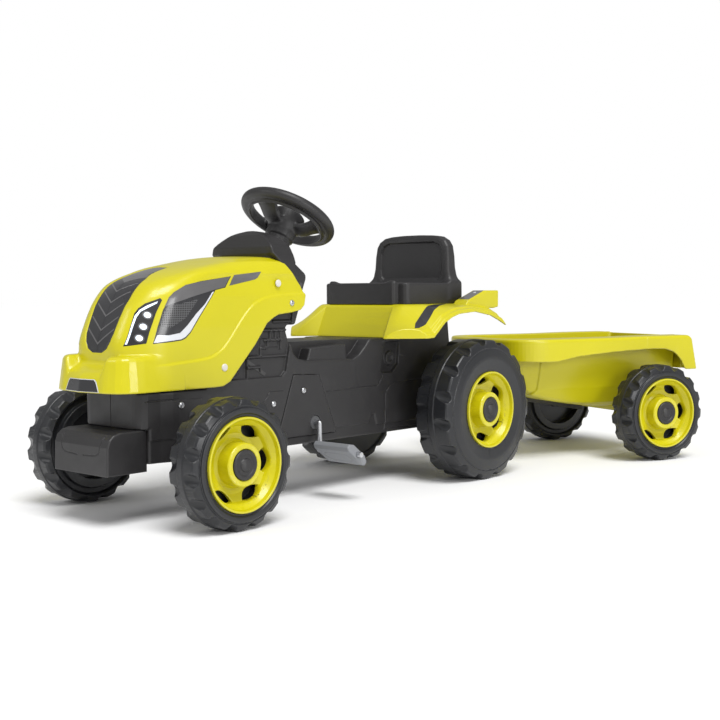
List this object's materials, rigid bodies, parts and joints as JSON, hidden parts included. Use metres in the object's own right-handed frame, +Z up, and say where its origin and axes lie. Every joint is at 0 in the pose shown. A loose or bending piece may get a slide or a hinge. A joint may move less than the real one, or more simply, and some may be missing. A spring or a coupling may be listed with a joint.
{
  "type": "pedal tractor with trailer",
  "caption": "Child's ride-on pedal tractor with steered front wheels, chain drive, sliding seat and a two-wheel tub trailer that swings on a lift-out hitch pin.",
  "frame": {"origin": "on the ground, at the middle of the bounding box, with the trailer swung 22 degrees to the tractor's left", "axes": "+Z up, -Y the way the tractor faces, +X the tractor's left"},
  "size_m": [0.6007, 1.4666, 0.5384],
  "materials": {
    "lime_plastic": "satin moulded",
    "black_plastic": "fine moulded grain",
    "tyre_plastic": "blow-moulded, half matt",
    "grey_plastic": "moulded grey",
    "bare_steel": "zinc plated",
    "rivet_plastic": "off-white",
    "bush_plastic": "plain moulded"
  },
  "bodies": {
    "root": {"chassis_left": "black_plastic", "chassis_right": "black_plastic", "hood": "lime_plastic", "dash": "black_plastic", "front_weight": "black_plastic", "fender_deck": "lime_plastic", "side_cover_left": "black_plastic", "side_cover_right": "black_plastic", "chassis_screws": "bare_steel", "hood_screws": "bare_steel", "hood_rivets": "rivet_plastic", "front_axle_beam": "bare_steel", "steering_plate": "black_plastic", "column_bush": "bush_plastic", "crank_bushes": "bush_plastic", "rear_axle_bushes": "bush_plastic", "drive_chain": "bare_steel", "hitch_bracket": "black_plastic"},
    "steering": {"steering_wheel": "black_plastic", "steering_column": "bare_steel", "wheel_nut": "bare_steel", "horn_squeaker": "bush_plastic"},
    "horn": {"horn_button": "black_plastic"},
    "knuckle_left": {"knuckle_left": "bare_steel", "axle_clip_left": "bare_steel"},
    "knuckle_right": {"knuckle_right": "bare_steel", "axle_clip_right": "bare_steel"},
    "tie_rod": {"tie_rod": "black_plastic"},
    "front_wheel_left": {"front_rim_left": "lime_plastic", "front_tyre_left": "tyre_plastic", "front_cap_left": "black_plastic"},
    "front_wheel_right": {"front_rim_right": "lime_plastic", "front_tyre_right": "tyre_plastic", "front_cap_right": "black_plastic"},
    "rear_drive": {"rear_axle": "bare_steel", "rear_sprocket": "black_plastic", "drive_pin": "bare_steel", "rear_rim_left": "lime_plastic", "rear_tyre_left": "tyre_plastic", "rear_cap_left": "black_plastic"},
    "rear_wheel_right": {"rear_rim_right": "lime_plastic", "rear_tyre_right": "tyre_plastic", "rear_cap_right": "black_plastic"},
    "crank": {"crank_rod": "bare_steel", "crank_sprocket": "black_plastic"},
    "pedal_left": {"pedal_left": "grey_plastic"},
    "pedal_right": {"pedal_right": "grey_plastic"},
    "seat": {"seat": "black_plastic", "seat_bolts": "bare_steel"},
    "hitch_pin": {"hitch_pin": "bare_steel"},
    "trailer": {"trailer_tub": "lime_plastic", "trailer_drawbar": "black_plastic", "trailer_axle": "bare_steel"},
    "trailer_wheel_left": {"trailer_rim_left": "lime_plastic", "trailer_tyre_left": "tyre_plastic", "trailer_cap_left": "black_plastic"},
    "trailer_wheel_right": {"trailer_rim_right": "lime_plastic", "trailer_tyre_right": "tyre_plastic", "trailer_cap_right": "black_plastic"}
  },
  "joints": [
    {"name": "steering_turn", "type": "hinge", "parent": "root", "child": "steering", "pos_m": [-0.08039, -0.28775, 0.488], "axis": [0, 0.515, 0.8572], "range_deg": [-35, 35]},
    {"name": "horn_press", "type": "slide", "parent": "steering", "child": "horn", "axis": [0, 0.515, 0.8572], "range_m": [-0.003, 0], "stiffness_N_per_m": 400, "springref_m": 0.001, "deforming": ["horn_squeaker"]},
    {"name": "steer_left", "type": "hinge", "parent": "root", "child": "knuckle_left", "pos_m": [-0.02839, -0.59225, 0.1], "axis": [0, 0, 1], "range_deg": [-23.34, 23.34]},
    {"name": "steer_right", "type": "hinge", "parent": "root", "child": "knuckle_right", "pos_m": [-0.13239, -0.59225, 0.1], "axis": [0, 0, 1], "range_deg": [-23.34, 23.34]},
    {"name": "tie_rod_pivot", "type": "hinge", "parent": "knuckle_left", "child": "tie_rod", "pos_m": [-0.02839, -0.54726, 0.136], "axis": [0, 0, 1], "range_deg": [-23.34, 23.34]},
    {"name": "front_wheel_left_spin", "type": "hinge", "parent": "knuckle_left", "child": "front_wheel_left", "pos_m": [0.10661, -0.59225, 0.1], "axis": [1, 0, 0], "continuous": true},
    {"name": "front_wheel_right_spin", "type": "hinge", "parent": "knuckle_right", "child": "front_wheel_right", "pos_m": [-0.26739, -0.59225, 0.1], "axis": [1, 0, 0], "continuous": true},
    {"name": "rear_axle_spin", "type": "hinge", "parent": "root", "child": "rear_drive", "pos_m": [-0.08039, 0.03674, 0.1325], "axis": [1, 0, 0], "continuous": true},
    {"name": "rear_wheel_right_spin", "type": "hinge", "parent": "rear_drive", "child": "rear_wheel_right", "pos_m": [-0.24989, 0.03674, 0.1325], "axis": [1, 0, 0], "continuous": true},
    {"name": "crank_turn", "type": "hinge", "parent": "root", "child": "crank", "pos_m": [-0.08039, -0.30826, 0.129], "axis": [1, 0, 0], "continuous": true, "deforming": ["drive_chain"]},
    {"name": "pedal_left_spin", "type": "hinge", "parent": "crank", "child": "pedal_left", "pos_m": [0.06361, -0.30826, 0.082], "axis": [1, 0, 0], "continuous": true},
    {"name": "pedal_right_spin", "type": "hinge", "parent": "crank", "child": "pedal_right", "pos_m": [-0.22439, -0.30826, 0.176], "axis": [1, 0, 0], "continuous": true},
    {"name": "seat_slide", "type": "slide", "parent": "root", "child": "seat", "axis": [0, 1, 0], "range_m": [-0.03, 0.03]},
    {"name": "hitch_pin_lift", "type": "slide", "parent": "root", "child": "hitch_pin", "axis": [0, 0, 1], "range_m": [0, 0.045]},
    {"name": "trailer_turn", "type": "hinge", "parent": "root", "child": "trailer", "pos_m": [-0.08039, 0.19675, 0.137], "axis": [0, 0, 1], "range_deg": [-23, 67]},
    {"name": "trailer_wheel_left_spin", "type": "hinge", "parent": "trailer", "child": "trailer_wheel_left", "pos_m": [0.23832, 0.48106, 0.1], "axis": [0.9272, -0.3746, 0], "continuous": true},
    {"name": "trailer_wheel_right_spin", "type": "hinge", "parent": "trailer", "child": "trailer_wheel_right", "pos_m": [-0.11215, 0.62266, 0.1], "axis": [0.9272, -0.3746, 0], "continuous": true}
  ],
  "couplings": [
    {"joint": "steer_left", "follows": "steering_turn", "ratio": 0.66667},
    {"joint": "steer_right", "follows": "steering_turn", "ratio": 0.66667},
    {"joint": "tie_rod_pivot", "follows": "steering_turn", "ratio": -0.66667},
    {"joint": "crank_turn", "follows": "rear_axle_spin", "ratio": 0.7}
  ]
}
